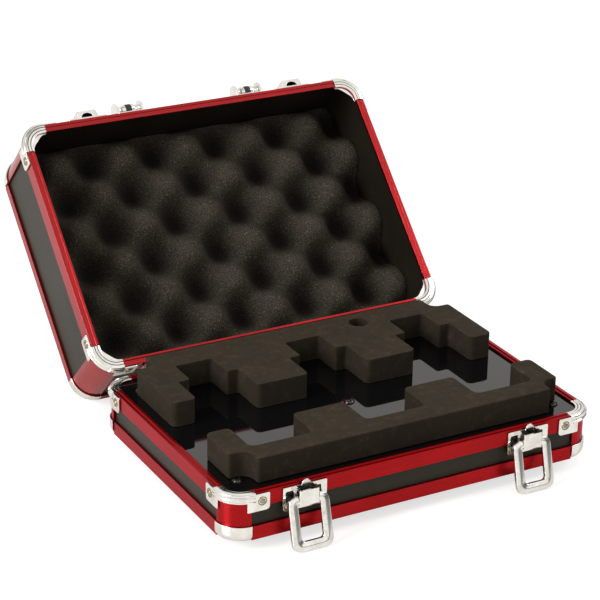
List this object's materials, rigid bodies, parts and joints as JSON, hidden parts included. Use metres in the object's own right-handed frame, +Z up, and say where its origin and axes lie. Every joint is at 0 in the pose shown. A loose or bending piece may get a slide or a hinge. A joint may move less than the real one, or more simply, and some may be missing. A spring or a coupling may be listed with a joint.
{
  "type": "pedal case",
  "caption": "Hinged hard case with aluminium-edged panels, draw latches, folding handle, shaped foam tray with pedal pockets and an egg-crate foam lid.",
  "frame": {"origin": "on the floor plane through the undersides of the feet, in the middle of the open case's footprint", "axes": "+X to the right seen from the front, +Y from the latches towards the hinge and the open lid, +Z up"},
  "size_m": [0.2544, 0.355, 0.1693],
  "materials": {
    "red_aluminium": "red anodised, fine brushed grain along the profile",
    "black_board": "black laminate, faint grain",
    "chrome": "bright nickel-chrome plate",
    "gloss_tray": "glossy black sheet",
    "cut_foam": "dense closed-cell foam, matt",
    "crate_foam": "open-cell foam, matt and porous",
    "foot_rubber": "matt black rubber",
    "grip_plastic": "moulded black plastic",
    "hinge_steel": "plated steel"
  },
  "bodies": {
    "base": {"back_foam": "cut_foam", "base_ball_corner_back_left": "chrome", "base_ball_corner_back_right": "chrome", "base_ball_corner_front_left": "chrome", "base_ball_corner_front_right": "chrome", "base_bracket_back_left": "chrome", "base_bracket_back_right": "chrome", "base_bracket_front_left": "chrome", "base_bracket_front_right": "chrome", "base_edge_frame": "red_aluminium", "base_panel": "black_board", "base_post_back_left": "red_aluminium", "base_post_back_right": "red_aluminium", "base_post_front_left": "red_aluminium", "base_post_front_right": "red_aluminium", "base_rim": "red_aluminium", "base_walls": "black_board", "foot_back_left": "foot_rubber", "foot_back_right": "foot_rubber", "foot_front_left": "foot_rubber", "foot_front_right": "foot_rubber", "front_foam": "cut_foam", "hinge_base_leaf": "hinge_steel", "hinge_pin": "hinge_steel", "latch_base_left": "chrome", "latch_base_right": "chrome", "tray_board": "gloss_tray"},
    "lid": {"handle_bracket_left": "chrome", "handle_bracket_right": "chrome", "hinge_lid_leaf": "hinge_steel", "lid_ball_corner_back_left": "chrome", "lid_ball_corner_back_right": "chrome", "lid_ball_corner_front_left": "chrome", "lid_ball_corner_front_right": "chrome", "lid_bracket_back_left": "chrome", "lid_bracket_back_right": "chrome", "lid_bracket_front_left": "chrome", "lid_bracket_front_right": "chrome", "lid_crate_foam": "crate_foam", "lid_edge_frame": "red_aluminium", "lid_panel": "black_board", "lid_post_back_left": "red_aluminium", "lid_post_back_right": "red_aluminium", "lid_post_front_left": "red_aluminium", "lid_post_front_right": "red_aluminium", "lid_rim": "red_aluminium", "lid_walls": "black_board", "strike_left": "chrome", "strike_right": "chrome"},
    "bail_left": {"latch_bail_left": "chrome"},
    "bail_right": {"latch_bail_right": "chrome"},
    "hook_left": {"latch_hook_left": "chrome"},
    "hook_right": {"latch_hook_right": "chrome"},
    "handle": {"handle": "grip_plastic"}
  },
  "joints": [
    {"name": "lid_hinge", "type": "hinge", "parent": "base", "child": "lid", "pos_m": [0, 0.01293, 0.04], "axis": [1, 0, 0], "range_deg": [0, 134.8]},
    {"name": "handle_swing", "type": "hinge", "parent": "lid", "child": "handle", "pos_m": [0, 0.14579, 0.16371], "axis": [1, 0, 0], "range_deg": [0, 180]},
    {"name": "bail_left_swing", "type": "hinge", "parent": "base", "child": "bail_left", "pos_m": [-0.0764, -0.16817, 0.0299], "axis": [-1, 0, 0], "range_deg": [0, 105]},
    {"name": "hook_left_slide", "type": "slide", "parent": "base", "child": "hook_left", "axis": [0, 0, 1], "range_m": [0, 0.005]},
    {"name": "bail_right_swing", "type": "hinge", "parent": "base", "child": "bail_right", "pos_m": [0.0764, -0.16817, 0.0299], "axis": [-1, 0, 0], "range_deg": [0, 105]},
    {"name": "hook_right_slide", "type": "slide", "parent": "base", "child": "hook_right", "axis": [0, 0, 1], "range_m": [0, 0.005]}
  ],
  "couplings": [
    {"joint": "hook_left_slide", "follows": "bail_left_swing", "m_per_rad": 0.0027},
    {"joint": "hook_right_slide", "follows": "bail_right_swing", "m_per_rad": 0.0027}
  ]
}
